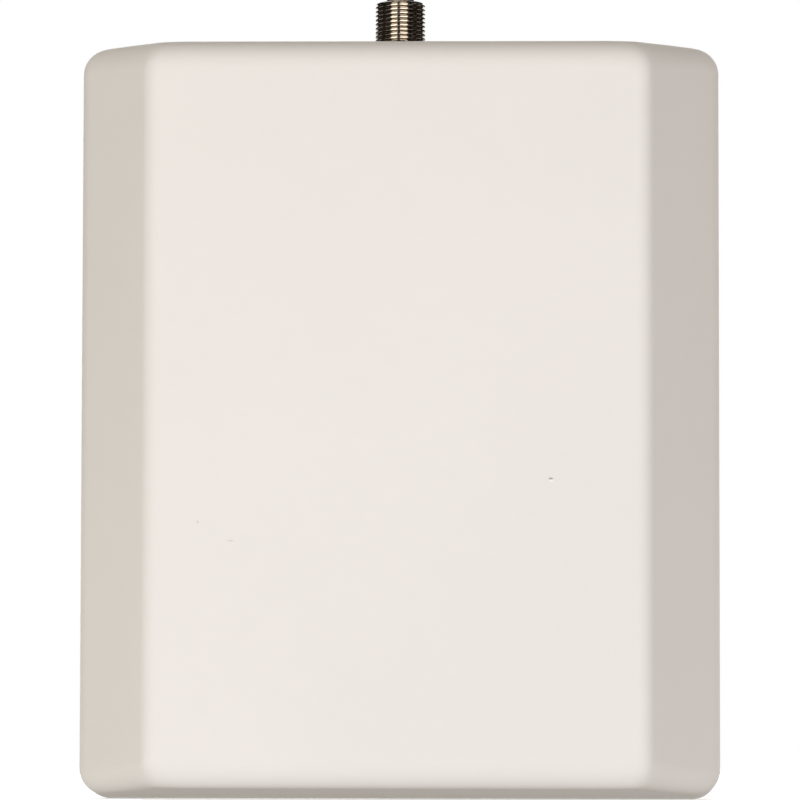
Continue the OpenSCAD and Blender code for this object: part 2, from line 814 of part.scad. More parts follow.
module crimp_ferrule() {
    overlap = spigot_l - ferrule_gap;
    color("darkkhaki") upright() on_socket(spigot_start + overlap - ferrule_l) difference() {
        cylinder(d = spigot_d + slip + 2 * ferrule_wall, h = ferrule_l);
        translate([0, 0, -over]) cylinder(d = cable_d + slip, h = ferrule_l + 2 * over);
        translate([0, 0, ferrule_l - overlap - slip]) cylinder(d = spigot_d + slip, h = ferrule_l);
    }
}

radome();
rear_cover();
cover_seal();
cover_screws();
bracket_inserts();
reflector();
reflector_screws();
upper_arm();
lower_arm();
upper_post();
lower_post();
post_screws();
arm_spacers();
director();
director_spacers();
stack_screws();
stack_nuts();
coax_jacket();
coax_braid();
coax_dielectric();
feed_wire();
solder_joints();
cable_saddle();
connector_body();
connector_insulator();
connector_contact();
connector_nut();
lock_washer();
connector_seal();
crimp_ferrule();
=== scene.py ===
"""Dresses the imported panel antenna: moulded radome, threaded socket, rear cover and inner stack."""

import logging
import math
from collections.abc import Callable, Iterable, Sequence
from dataclasses import KW_ONLY, dataclass, field, replace
from enum import Enum
from typing import Any

import bmesh
import bpy
from mathutils import Euler, Matrix, Vector


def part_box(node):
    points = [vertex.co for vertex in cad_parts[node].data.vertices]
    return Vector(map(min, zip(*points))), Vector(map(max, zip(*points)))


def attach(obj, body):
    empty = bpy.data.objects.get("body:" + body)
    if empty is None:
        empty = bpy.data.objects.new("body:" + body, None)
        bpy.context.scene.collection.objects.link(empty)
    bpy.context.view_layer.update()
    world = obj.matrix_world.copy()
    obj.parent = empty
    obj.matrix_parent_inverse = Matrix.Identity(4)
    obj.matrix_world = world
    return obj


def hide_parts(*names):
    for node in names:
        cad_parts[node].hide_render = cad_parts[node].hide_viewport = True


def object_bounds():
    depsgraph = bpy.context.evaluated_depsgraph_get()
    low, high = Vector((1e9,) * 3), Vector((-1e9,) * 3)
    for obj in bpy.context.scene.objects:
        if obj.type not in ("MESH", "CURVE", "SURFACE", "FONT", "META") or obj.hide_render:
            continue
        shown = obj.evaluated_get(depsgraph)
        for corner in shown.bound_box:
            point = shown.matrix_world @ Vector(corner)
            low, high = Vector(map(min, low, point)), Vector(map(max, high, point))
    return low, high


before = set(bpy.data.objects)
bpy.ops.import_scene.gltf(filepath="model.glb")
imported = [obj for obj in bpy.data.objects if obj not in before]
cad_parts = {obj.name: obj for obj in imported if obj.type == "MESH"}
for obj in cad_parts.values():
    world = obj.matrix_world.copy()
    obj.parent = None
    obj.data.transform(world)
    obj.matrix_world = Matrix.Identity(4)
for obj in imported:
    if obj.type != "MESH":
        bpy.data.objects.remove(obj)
CAD_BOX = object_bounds()

LOG = logging.getLogger("panel_antenna")
MM = 0.001
TURN = 2 * math.pi
BODY = "root"
FRONT_Y = CAD_BOX[0][1]
NOISE_MEAN = 0.5
TOLERANCE = 1e-9
THREAD_CREASE = math.radians(50)
WHITE = (1.0, 1.0, 1.0)
# A Mix node has sockets of every kind; these are the places of its colours.
MIX_A, MIX_B, MIX_RESULT = 6, 7, 2
CORNERS = ((-1, -1), (1, -1), (1, 1), (-1, 1))

Colour = tuple[float, float, float]
Point = tuple[float, float, float]
Amount = float | Callable[[float], float]
Rows = list[tuple[Amount, Amount]]
Seat = Callable[[float, float, float], Vector]
Loop = list[bmesh.types.BMVert]


class Along(Enum):
    """The axes of the panel: across it, up it, and from the wall to its front."""

    ACROSS = 0
    UP = 1
    DEEP = 2


def span(node: str, along: Along) -> tuple[float, float]:
    """Finds a node's reach along one of the panel's axes.

    Args:
        node: the CAD node.
        along: the axis.

    Returns:
        Where it starts and ends, in mm.
    """
    low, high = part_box(node)
    start, end = (low[0], low[2], -high[1]), (high[0], high[2], -low[1])
    return start[along.value] / MM, end[along.value] / MM


def extent(node: str, along: Along) -> float:
    """Gives a node's length along one of the panel's axes, in mm."""
    start, end = span(node, along)
    return end - start


def smooth(value: float) -> float:
    """Eases a share from 0 to 1, and holds it there outside."""
    share = min(1.0, max(0.0, value))
    return share * share * (3 - 2 * share)


def at(amount: Amount, angle: float) -> float:
    """Reads a plain number, or one that changes round a turned form."""
    return amount(angle) if callable(amount) else amount


def tint(colour: Colour, factor: float = 1.0) -> tuple[float, float, float, float]:
    """Lightens or darkens a colour, and adds its alpha."""
    return (*(min(1.0, channel * factor) for channel in colour), 1.0)


def upright(x: float, y: float, z: float) -> Vector:
    """Stands a panel point up: across, up the panel and from wall to front, in mm."""
    return Vector((x, -z, y)) * MM


def standing(x: float, y: float) -> Seat:
    """Gives a seat for a turned form whose axis runs from wall to front through a panel point."""
    return lambda across, up, along: upright(x + across, y + up, along)


def add_object(name: str, data: bpy.types.ID) -> bpy.types.Object:
    """Adds an object to the scene.

    Args:
        name: the object's name.
        data: its mesh, light or camera.

    Returns:
        The object.
    """
    made = bpy.data.objects.new(name, data)
    bpy.context.scene.collection.objects.link(made)
    return made


# Shader graphs


class Wire:
    """One socket's value, which joins in Python expressions and adds their Math nodes."""

    def __init__(self, graph: "Graph", socket: bpy.types.NodeSocket) -> None:
        """Keeps the graph and the socket."""
        self.graph = graph
        self.socket = socket

    def math(self, operation: str, *values: "Wire | float") -> "Wire":
        """Adds one Math node for an operation on values, and gives its result."""
        return self.graph.add("ShaderNodeMath", {"operation": operation}, dict(enumerate(values)))

    def __add__(self, other: "Wire | float") -> "Wire":
        """Adds."""
        return self.math("ADD", self, other)

    def __radd__(self, other: float) -> "Wire":
        """Adds to a plain number."""
        return self.math("ADD", other, self)

    def __sub__(self, other: "Wire | float") -> "Wire":
        """Takes away."""
        return self.math("SUBTRACT", self, other)

    def __rsub__(self, other: float) -> "Wire":
        """Takes this from a plain number."""
        return self.math("SUBTRACT", other, self)

    def __mul__(self, other: "Wire | float") -> "Wire":
        """Multiplies."""
        return self.math("MULTIPLY", self, other)

    def __rmul__(self, other: float) -> "Wire":
        """Multiplies a plain number."""
        return self.math("MULTIPLY", other, self)

    def clip(self) -> "Wire":
        """Holds the value between 0 and 1."""
        return self.math("MINIMUM", self.math("MAXIMUM", self, 0.0), 1.0)

    def ease(self, low: float, high: float) -> "Wire":
        """Maps low to 0 and high to 1 with a smooth step."""
        return self.graph.add("ShaderNodeMapRange", {"interpolation_type": "SMOOTHSTEP"},
                              {"Value": self, "From Min": low, "From Max": high})


class Graph:
    """A material's or a world's node tree under construction."""

    def __init__(self, owner: bpy.types.Material | bpy.types.World) -> None:
        """Starts from an empty tree.

        Args:
            owner: what the tree belongs to.
        """
        owner.use_nodes = True
        self.tree = owner.node_tree
        self.tree.nodes.clear()

    def add(self, kind: str, settings: dict[str, Any] | None = None,
            sockets: dict[str | int, Any] | None = None, out: str | int = 0) -> Wire | None:
        """Adds a node, sets it up and feeds it.

        Args:
            kind: the node's type.
            settings: the node's own settings, made before its sockets are fed.
            sockets: a value or a wire for each input.
            out: which output is wanted.

        Returns:
            The wanted output, or nothing for a node without outputs.
        """
        node = self.tree.nodes.new(kind)
        for name, value in (settings or {}).items():
            setattr(node, name, value)
        for key, value in (sockets or {}).items():
            if isinstance(value, Wire):
                self.tree.links.new(value.socket, node.inputs[key])
            else:
                node.inputs[key].default_value = value
        return Wire(self, node.outputs[out]) if node.outputs else None

    def show(self, shader: Wire, output: str = "ShaderNodeOutputMaterial") -> None:
        """Feeds a shader to the tree's output."""
        self.add(output, sockets={"Surface": shader})

    def place(self) -> Wire:
        """Gives the point on the piece, in metres in the shared frame."""
        return self.add("ShaderNodeTexCoord", out="Object")

    def vector(self, operation: str, a: Wire, b: Point | Wire = (0, 0, 0), out: str = "Vector") -> Wire:
        """Adds one Vector Math node and gives its Vector, or its Value."""
        return self.add("ShaderNodeVectorMath", {"operation": operation}, {0: a, 1: b}, out)

    def noise(self, place: Wire, cells: float | Point, detail: float) -> Wire:
        """Makes soft noise.

        Args:
            place: the point on the piece.
            cells: cells to the metre, all round or along each axis.
            detail: how many finer noises lie on it.

        Returns:
            The noise, about 0.
        """
        if isinstance(cells, tuple):
            place, cells = self.vector("MULTIPLY", place, cells), 1.0
        return self.add("ShaderNodeTexNoise", sockets={
            "Vector": place, "Scale": cells, "Detail": detail}) - NOISE_MEAN

    def mix(self, factor: Wire, a: Any, b: Any) -> Wire:
        """Mixes two colours."""
        return self.add("ShaderNodeMix", {"data_type": "RGBA"}, {0: factor, MIX_A: a, MIX_B: b}, MIX_RESULT)

    def bump(self, height: Wire, depth: float) -> Wire:
        """Gives a normal that is raised by a height, of that depth in metres."""
        return self.add("ShaderNodeBump", sockets={"Height": height, "Distance": depth})

    def shown(self) -> Wire:
        """Gives 1 where the eye sees a surface directly, or in metal or glass."""
        rays = ("Is Camera Ray", "Is Glossy Ray", "Is Transmission Ray")
        return sum(self.add("ShaderNodeLightPath", out=ray) for ray in rays).clip()


# Finishes


@dataclass(frozen=True)
class Layer:
    """One layer of noise: cells to the metre, detail, and its share in tone, gloss and height."""

    cells: float | Point
    detail: float
    tone: float = 0.0
    gloss: float = 0.0
    height: float = 0.0


@dataclass(frozen=True)
class MarkAndPaintedLight:
    """A tiny raised spot on a moulding, in metres in the shared frame; its colour is a speck's own colour,
    painted shade or a painted highlight, as given.
    """

    centre: Point
    reach: Point
    colour: Colour
    core: float = 0.2
    height: float = 3.0

    def mask(self, graph: Graph, place: Wire) -> Wire:
        """Gives 1 in the mark's core and 0 past its reach."""
        away = graph.vector("DIVIDE", graph.vector("SUBTRACT", place, self.centre), self.reach)
        return graph.vector("LENGTH", away, out="Value").ease(1.0, self.core)


@dataclass(frozen=True)
class Finish:
    """A finish: its colour, its roughness, the depth of its grain in mm and what varies it."""

    name: str
    colour: Colour
    roughness: float
    depth: float
    _: KW_ONLY
    layers: tuple[Layer, ...] = ()
    marks_and_painted_light: tuple[MarkAndPaintedLight, ...] = ()

    def shade(self, graph: Graph, place: Wire, tone: Wire) -> Wire:
        """Gives the colour of this kind of finish."""
        raise NotImplementedError

    def stack(self) -> tuple[Layer, ...]:
        """Gives all layers of noise."""
        return self.layers

    def constants(self) -> dict[str, float]:
        """Gives the shader's values that are the same all over."""
        return {}

    def material(self) -> bpy.types.Material:
        """Makes the finish's material.

        Returns:
            A new material with this finish's nodes.
        """
        made = bpy.data.materials.new(self.name)
        graph = Graph(made)
        place = graph.place()
        stack = [(layer, graph.noise(place, layer.cells, layer.detail)) for layer in self.stack()]
        tone = sum(noise * layer.tone for layer, noise in stack if layer.tone)
        gloss = sum(noise * layer.gloss for layer, noise in stack if layer.gloss)
        height = sum(noise * layer.height for layer, noise in stack if layer.height)
        colour = self.shade(graph, place, tone)
        # Each spot paints its colour over the finish and raises a little bump; on the radome two of them are
        # a painted highlight and painted shade.
        for spot in self.marks_and_painted_light:
            mask = spot.mask(graph, place)
            colour = graph.mix(mask, colour, tint(spot.colour))
            height = height + mask * spot.height
        graph.show(graph.add("ShaderNodeBsdfPrincipled", sockets={
            "Base Color": colour,
            "Roughness": (self.roughness + gloss).clip(),
            "Normal": graph.bump(height, self.depth * MM),
            **self.constants()}))
        return made


@dataclass(frozen=True)
class MouldedPlastic(Finish):
    """Moulded plastic with a fine spark-eroded grain and slow changes of tone."""

    _: KW_ONLY
    layers: tuple[Layer, ...] = (
        Layer(16.0, 1.0, tone=0.9),
        Layer(130.0, 3.0, tone=0.35, gloss=0.06, height=0.6),
        Layer(4200.0, 2.0, tone=0.25, gloss=0.1, height=1.0))
    middle: float = 0.5
    dark: float = 0.965
    light: float = 1.03
    ior: float = 1.5

    def shade(self, graph: Graph, place: Wire, tone: Wire) -> Wire:
        """Gives a colour between the dark and the light tone."""
        return graph.mix((self.middle + tone).clip(), tint(self.colour, self.dark),
                         tint(self.colour, self.light))

    def constants(self) -> dict[str, float]:
        """Gives the plastic's refraction."""
        return {"IOR": self.ior}


BLOOM = Layer(260.0, 3.0, tone=0.8, gloss=0.15)
PORES = Layer(3000.0, 3.0, tone=0.3, gloss=0.1, height=1.0)


@dataclass(frozen=True)
class SoftRubber(MouldedPlastic):
    """Matt rubber or foam with an open grain."""

    _: KW_ONLY
    layers: tuple[Layer, ...] = (BLOOM, PORES)
    middle: float = 0.4
    dark: float = 0.7
    light: float = 1.6


class Working(Enum):
    """How a metal was worked: cells of its marks to the metre along each axis."""

    TURNED_UP = (300.0, 300.0, 16000.0)
    TURNED_THROUGH = (300.0, 16000.0, 300.0)
    ROLLED = (14000.0, 2000.0, 160.0)
    DRAWN = (9000.0, 9000.0, 900.0)
    FLOWED = (2600.0, 2600.0, 2600.0)


@dataclass(frozen=True)
class WorkedMetal(Finish):
    """Bare or plated metal with the marks of its making and a little tarnish."""

    working: Working
    tarnish_and_root_shade: Colour
    _: KW_ONLY
    layers: tuple[Layer, ...] = (Layer(420.0, 4.0, tone=0.5, gloss=0.14),)
    least: float = 0.12
    streak: float = 0.0
    streak_turn: float = 0.25

    def shade(self, graph: Graph, place: Wire, tone: Wire) -> Wire:
        """Gives the metal's colour, tarnished where the stain is high."""
        return graph.mix((self.least + tone).clip(), tint(self.colour), tint(self.tarnish_and_root_shade))

    def stack(self) -> tuple[Layer, ...]:
        """Gives the stain and the marks of working."""
        return *self.layers, Layer(self.working.value, 3.0, gloss=0.16, height=1.0)

    def constants(self) -> dict[str, float]:
        """Gives the metal's sheen along its marks."""
        return {"Metallic": 1.0, "Anisotropic": self.streak, "Anisotropic Rotation": self.streak_turn}


@dataclass(frozen=True)
class ThreadPlating(WorkedMetal):
    """Plated metal of a screw thread, darker in its roots from tarnish and painted shade, and its plain
    plating colour on its crests, in metres.
    """

    _: KW_ONLY
    axis: Point
    root: float
    crest: float

    def shade(self, graph: Graph, place: Wire, tone: Wire) -> Wire:
        """Gives the plating's colour by its distance from the thread's axis: darker towards the roots, as
        tarnish and painted shade in the grooves.

        Args:
            graph: the material's tree.
            place: the point on the thread.
            tone: the plating's own slow changes.

        Returns:
            The colour.
        """
        away = graph.vector("MULTIPLY", graph.vector("SUBTRACT", place, self.axis), (1, 1, 0))
        high = graph.vector("LENGTH", away, out="Value").ease(self.root, self.crest)
        # The roots take the darker colour: tarnish together with painted shade in the thread's grooves.
        return graph.mix((high + tone).clip(), tint(self.tarnish_and_root_shade), tint(self.colour))


# Meshes


@dataclass
class Piece:
    """One visible piece while its mesh is made, and the CAD nodes that it stands for."""

    name: str
    slot: str
    nodes: tuple[str, ...]
    crease: float = math.radians(36)
    mesh: bmesh.types.BMesh = field(default_factory=bmesh.new)

    def loop(self, points: Iterable[Vector]) -> Loop:
        """Adds a closed row of points."""
        return [self.mesh.verts.new(point) for point in points]

    def strip(self, loops: Sequence[Loop], closed: bool = False, skip: int | None = None) -> None:
        """Joins rows of points, one after another.

        Args:
            loops: rows of as many points each.
            closed: joins the last row to the first too.
            skip: a place along the rows that is left open.
        """
        follow = [*loops[1:], loops[0]] if closed else loops[1:]
        for low, high in zip(loops, follow):
            for k, point in enumerate(low):
                if k != skip:
                    after = (k + 1) % len(low)
                    self.mesh.faces.new((point, low[after], high[after], high[k]))

    def cap(self, loop: Loop) -> None:
        """Closes a row of points with one face."""
        self.mesh.faces.new(loop)

    def fill(self, loops: Sequence[Loop]) -> None:
        """Fills a flat face that lies between an outline and its holes.

        Args:
            loops: the outline and the holes.
        """
        pairs = [pair for loop in loops for pair in zip(loop, [*loop[1:], loop[0]])]
        edges = [self.mesh.edges.get(pair) or self.mesh.edges.new(pair) for pair in pairs]
        bmesh.ops.triangle_fill(self.mesh, use_beauty=True, edges=edges)

    def turn(self, rows: Rows, seat: Seat, steps: int = 64, closed: bool = False) -> list[Loop]:
        """Sweeps a turned form round its axis.

        Args:
            rows: place along the axis and radius of each row, either of which may
                change with the angle.
            seat: puts a point of the axis frame in the shared frame.
            steps: points round the form.
            closed: joins the last row to the first, as in a tube.

        Returns:
            The rows of points.
        """
        angles = [TURN * k / steps for k in range(steps)]
        loops = [self.loop(seat(at(radius, a) * math.cos(a), at(radius, a) * math.sin(a), at(along, a))
                           for a in angles) for along, radius in rows]
        self.strip(loops, closed)
        return loops

    def box(self, low: Point, high: Point) -> None:
        """Adds a block.

        Args:
            low: the panel point of its lowest corner.
            high: the panel point of its highest corner.
        """
        (left, bottom, back), (right, top, front) = low, high
        around = ((left, bottom), (right, bottom), (right, top), (left, top))
        rows = [self.loop(upright(x, y, z) for x, y in around) for z in (back, front)]
        self.strip(rows)
        self.cap(rows[0])
        self.cap(rows[1])

    def settle(self, finish: Finish) -> None:
        """Makes the finished object and seats it on the part's body.

        Args:
            finish: what covers the piece.
        """
        bmesh.ops.recalc_face_normals(self.mesh, faces=self.mesh.faces)
        for edge in self.mesh.edges:
            edge.smooth = edge.calc_face_angle(0.0) < self.crease
        for face in self.mesh.faces:
            face.smooth = True
        data = bpy.data.meshes.new(self.name)
        self.mesh.to_mesh(data)
        self.mesh.free()
        data.materials.append(finish.material())
        made = add_object(self.name, data)
        even = made.modifiers.new("even_normals", "WEIGHTED_NORMAL")
        even.keep_sharp = True
        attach(made, BODY)
        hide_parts(*self.nodes)
        LOG.info("made %s for %s", self.name, ", ".join(self.nodes))


def rounding(radius: float, steps: int = 4) -> list[tuple[float, float]]:
    """Gives each point of a rounded edge: how far in from the side and down from the face."""
    turns = [TURN / 4 * k / steps for k in range(steps + 1)]
    return [(radius * (1 - math.sin(t)), radius * (1 - math.cos(t))) for t in turns]


@dataclass
class Helix:
    """A right-hand screw thread, in mm."""

    crest: float
    root: float
    pitch: float
    flat: float = 0.2
    valley: float = 0.1
    origin: float = 0.0
    straight: float = 0.45

    def radius(self, along: float, angle: float) -> float:
        """Gives the thread's radius.

        Args:
            along: place on the axis.
            angle: place round it.

        Returns:
            The radius, between root and crest.
        """
        phase = ((along - self.origin) / self.pitch - angle / TURN) % 1.0
        flank = (1 - self.flat - self.valley) / 2
        share = min(1.0, max(0.0, (abs(phase - 0.5) - self.flat / 2) / flank))
        share = self.straight * share + (1 - self.straight) * smooth(share)
        return self.crest + (self.root - self.crest) * share

    def rows(self, start: float, end: float, fade: float, cut: float, steps: int = 14) -> Rows:
        """Gives the rows of a threaded length.

        Args:
            start: where the thread rises out of its root.
            end: where its last turn is chamfered off.
            fade: length over which it rises.
            cut: length of the chamfer.
            steps: rows to each turn.

        Returns:
            Place and radius of each row.
        """
        count = max(2, round((end - start) / self.pitch * steps))
        made = []
        for k in range(count + 1):
            along = start + (end - start) * k / count
            rise = smooth((along - start) / fade) * min(1.0, (end - along) / cut)
            made.append((along, lambda angle, s=along, r=rise: self.root + (
                self.radius(s, angle) - self.root) * r))
        return made


def outline(half_w: float, half_h: float, radius: float, z: float, steps: int,
            more: Sequence[float] = (), droop: Callable[[float], float] | None = None) -> list[Vector]:
    """Gives a rounded rectangle.

    Args:
        half_w: half its width.
        half_h: half its height.
        radius: its corner radius.
        z: its depth from the wall.
        steps: chords in each corner.
        more: more points along the top side, from right to left, and so along the bottom.
        droop: how far the top and bottom sides lie inwards at a place across.

    Returns:
        Its points, from the right side over the top and round.
    """
    points = []
    for quarter, (i, j) in enumerate(((1, 1), (-1, 1), (-1, -1), (1, -1))):
        for k in range(steps + 1):
            turn = TURN / 4 * (quarter + k / steps)
            points.append((i * (half_w - radius) + radius * math.cos(turn),
                           j * (half_h - radius) + radius * math.sin(turn)))
        if i == j:
            points.extend((i * x, j * half_h) for x in more)
    return [upright(x, y - math.copysign(droop(x) if droop else 0.0, y), z) for x, y in points]


@dataclass
class Skin:
    """One skin of the radome, so many mm in from its outside."""

    shell: "Housing"
    inset: float

    def __post_init__(self) -> None:
        """Works out the skin's roundings, and where they lie in its depth."""
        shell = self.shell
        self.skirt_r = max(shell.skirt_round - self.inset, shell.least_round)
        self.front_r = max(shell.front_round - self.inset, shell.least_round)
        self.shift = self.inset / math.sin(shell.bevel)
        self.skirt_z = shell.skirt_d - (self.shift - self.inset) * shell.rise / shell.run
        self.skirt_t = self.skirt_r * math.tan(shell.lean / 2)
        self.front_z = shell.panel_d - self.inset
        self.front_t = self.front_r * math.tan(shell.bevel / 2)

    def slope(self, z: float) -> float:
        """Gives half the width of the flat bevels."""
        fall = (z - self.shell.skirt_d) * self.shell.run / self.shell.rise
        return self.shell.half_w - fall - self.shift

    def side(self, z: float) -> float:
        """Gives half the width, with the roundings at skirt and front.

        Args:
            z: depth from the wall.

        Returns:
            The half width.
        """
        wall, sine = self.shell.half_w - self.inset, math.sin(self.shell.bevel)
        if z <= self.skirt_z - self.skirt_t:
            return wall
        if z < self.skirt_z + self.skirt_t * sine:
            over = z - self.skirt_z + self.skirt_t
            return wall - self.skirt_r + math.sqrt(self.skirt_r ** 2 - over ** 2)
        if z <= self.front_z - self.front_t * sine:
            return self.slope(z)
        over = z - self.front_z + self.front_r
        return self.slope(self.front_z) - self.front_t + math.sqrt(max(0.0, self.front_r ** 2 - over ** 2))

    def top_line(self, z: float) -> float:
        """Gives half the height of the tapered end walls."""
        taper = self.shell.wall_taper
        return self.shell.half_h - z * math.tan(taper) - self.inset / math.cos(taper)

    def top(self, z: float) -> float:
        """Gives half the height, with the front rounding.

        Args:
            z: depth from the wall.

        Returns:
            The half height.
        """
        share = min(1.0, max(0.0, (z - self.front_z + self.front_r) / self.front_r))
        reach = self.front_r * self.shell.end_round / self.shell.front_round
        return self.top_line(z) - reach * (1 - math.sqrt(1 - share * share))

    def corner(self, z: float) -> float:
        """Gives the corner radius, which shrinks over the front rounding."""
        shrink = (self.top_line(z) - self.top(z)) * self.shell.front_round / self.shell.end_round
        return max(self.shell.corner_round - self.inset - shrink, self.shell.least_round)

    def ring(self, z: float) -> list[Vector]:
        """Gives one cross-section, which falls a little towards the front's corners.

        Args:
            z: depth from the wall.

        Returns:
            Its points, with two on each end wall beside the socket's hole.
        """
        shell, half, radius = self.shell, self.side(z), self.corner(z)
        low, high = shell.fall_z
        sink = shell.fall * smooth((z - low) / (high - low))
        shares = [k / shell.fall_steps for k in range(1, shell.fall_steps + 1)]
        right = [half - radius - (shell.fall_l - radius) * share for share in shares] + [shell.patch]
        more = right + [-x for x in reversed(right)]
        return outline(half, self.top(z), radius, z, shell.corner_steps, more,
                       lambda x: sink * max(0.0, 1 - (half - abs(x)) / shell.fall_l) ** 2)

    def levels(self, start: float) -> list[float]:
        """Gives the depths that carry a cross-section.

        Args:
            start: the first depth.

        Returns:
            The depths, from start to the flat front.
        """
        shell = self.shell
        skirt, front = self.skirt_z - self.skirt_t, self.front_z - self.front_r
        shares = [k / shell.arc_steps for k in range(shell.arc_steps + 1)]
        depths = [start, shell.socket_z - shell.patch, shell.socket_z + shell.patch]
        depths += [skirt + self.skirt_r * math.sin(shell.lean * share) for share in shares]
        turns = [shell.wall_taper + (shell.lean - shell.wall_taper) * share for share in shares[:-1]]
        turns += [shell.lean + shell.bevel * share for share in shares]
        return sorted(depths + [front + self.front_r * math.sin(turn) for turn in turns])

    def add(self, piece: Piece, start: float) -> tuple[Loop, Loop]:
        """Adds the skin, with a round hole in its upper end wall.

        Args:
            piece: the radome.
            start: where the skin starts.

        Returns:
            The skin's first cross-section and the edge of its hole.
        """
        shell, levels = self.shell, self.levels(start)
        rows = [piece.loop(self.ring(z)) for z in levels]
        beside = shell.corner_steps + 1 + shell.fall_steps
        for k, (low, high) in enumerate(zip(levels, levels[1:])):
            near = abs((low + high) / 2 - shell.socket_z) < shell.patch
            piece.strip(rows[k:k + 2], skip=beside if near else None)
        piece.cap(rows[-1])
        inside = [row for row, z in zip(rows, levels) if abs(z - shell.socket_z) <= shell.patch + TOLERANCE]
        border = [row[beside] for row in inside] + [row[beside + 1] for row in reversed(inside)]
        turns = [TURN * k / shell.round_steps for k in range(shell.round_steps)]
        chamfer = -shell.hole_edge if self.inset else shell.hole_edge
        edge = []
        for spread, sink in ((shell.hole_edge, 0.0), (0.0, chamfer)):
            reach = shell.hole_d / 2 + spread
            deep = [shell.socket_z + reach * math.sin(turn) for turn in turns]
            edge.append(piece.loop(upright(reach * math.cos(turn), self.top_line(z) - sink, z)
                                   for turn, z in zip(turns, deep)))
        piece.fill((border, edge[0]))
        piece.strip(edge)
        return rows[0], edge[-1]


@dataclass
class Housing:
    """The moulded radome: a tapered shell with bevelled sides and a hole for the socket, in mm."""

    finish: Finish
    panel_w: float = extent("radome", Along.ACROSS)
    panel_h: float = extent("radome", Along.UP)
    panel_d: float = extent("radome", Along.DEEP)
    front_w: float = 93.3
    skirt_d: float = 16.2
    wall_taper: float = math.radians(3.5)
    wall_t: float = 2.5
    front_round: float = 4.0
    end_round: float = 5.2
    fall: float = 0.45
    fall_l: float = 11.0
    fall_z: tuple[float, float] = (20.0, 37.0)
    fall_steps: int = 6
    skirt_round: float = 10.0
    corner_round: float = 4.8
    least_round: float = 0.6
    rim_t: float = 1.0
    rim_edge: float = 0.4
    rim_inner_edge: float = 0.25
    ledge_z: float = span("cover_seal", Along.DEEP)[1]
    boss_d: float = 7.6
    boss_inset: float = 5.0
    boss_drop: float = 1.0
    boss_bore: float = 3.0
    boss_floor: float = 12.0
    rib_t: float = 2.0
    rib_bite: float = 0.5
    hole_d: float = 10.2
    hole_edge: float = 0.3
    socket_z: float = sum(span("connector_body", Along.DEEP)) / 2
    patch: float = 8.0
    corner_steps: int = 16
    arc_steps: int = 10
    round_steps: int = 64

    def __post_init__(self) -> None:
        """Works out the bevel and the boss places."""
        self.half_w = self.panel_w / 2
        self.half_h = self.panel_h / 2
        self.run = self.half_w - self.front_w / 2
        self.rise = self.panel_d - self.skirt_d
        self.bevel = math.atan2(self.rise, self.run)
        self.lean = math.atan2(self.run, self.rise)
        self.boss_x = self.half_w - self.wall_t - self.boss_inset
        self.boss_y = self.half_h - self.wall_t - self.boss_inset
        self.boss_top = self.skirt_d - self.boss_drop

    def bosses(self, piece: Piece) -> None:
        """Adds the four corner bosses with the ribs that tie them to the walls.

        Args:
            piece: the radome.
        """
        bore, outer, half = self.boss_bore / 2, self.boss_d / 2, self.rib_t / 2
        rows = [(self.boss_floor, bore), (self.ledge_z + self.rim_inner_edge, bore),
                (self.ledge_z, bore + self.rim_inner_edge), (self.ledge_z, outer),
                (self.boss_top - self.rim_edge, outer), (self.boss_top, outer - self.rim_edge)]
        wall_x = self.half_w - self.wall_t + self.rib_bite
        wall_y = Skin(self, self.wall_t).top(self.boss_top) + self.rib_bite
        for i, j in CORNERS:
            x, y = i * self.boss_x, j * self.boss_y
            loops = piece.turn(rows, standing(x, y))
            piece.cap(loops[0])
            piece.cap(loops[-1])
            left, right = sorted((x, i * wall_x))
            piece.box((left, y - half, self.ledge_z), (right, y + half, self.boss_top))
            low, high = sorted((y, j * wall_y))
            piece.box((x - half, low, self.ledge_z), (x + half, high, self.boss_top))

    def build(self) -> None:
        """Makes the radome from its two skins, its rim and its bosses."""
        piece = Piece("radome_shell", "radome_plastic", ("radome",))
        outer, hole = Skin(self, 0.0).add(piece, self.rim_edge)
        inner, back = Skin(self, self.wall_t).add(piece, self.ledge_z)
        rim = [(self.ledge_z, self.rim_t)]
        rim += [(d, self.rim_t - i) for i, d in reversed(rounding(self.rim_inner_edge))]
        rim += [(d, i) for i, d in rounding(self.rim_edge)[:-1]]
        piece.strip([inner, *(piece.loop(Skin(self, inset).ring(z)) for z, inset in rim), outer])
        piece.strip([hole, back])
        self.bosses(piece)
        piece.settle(self.finish)


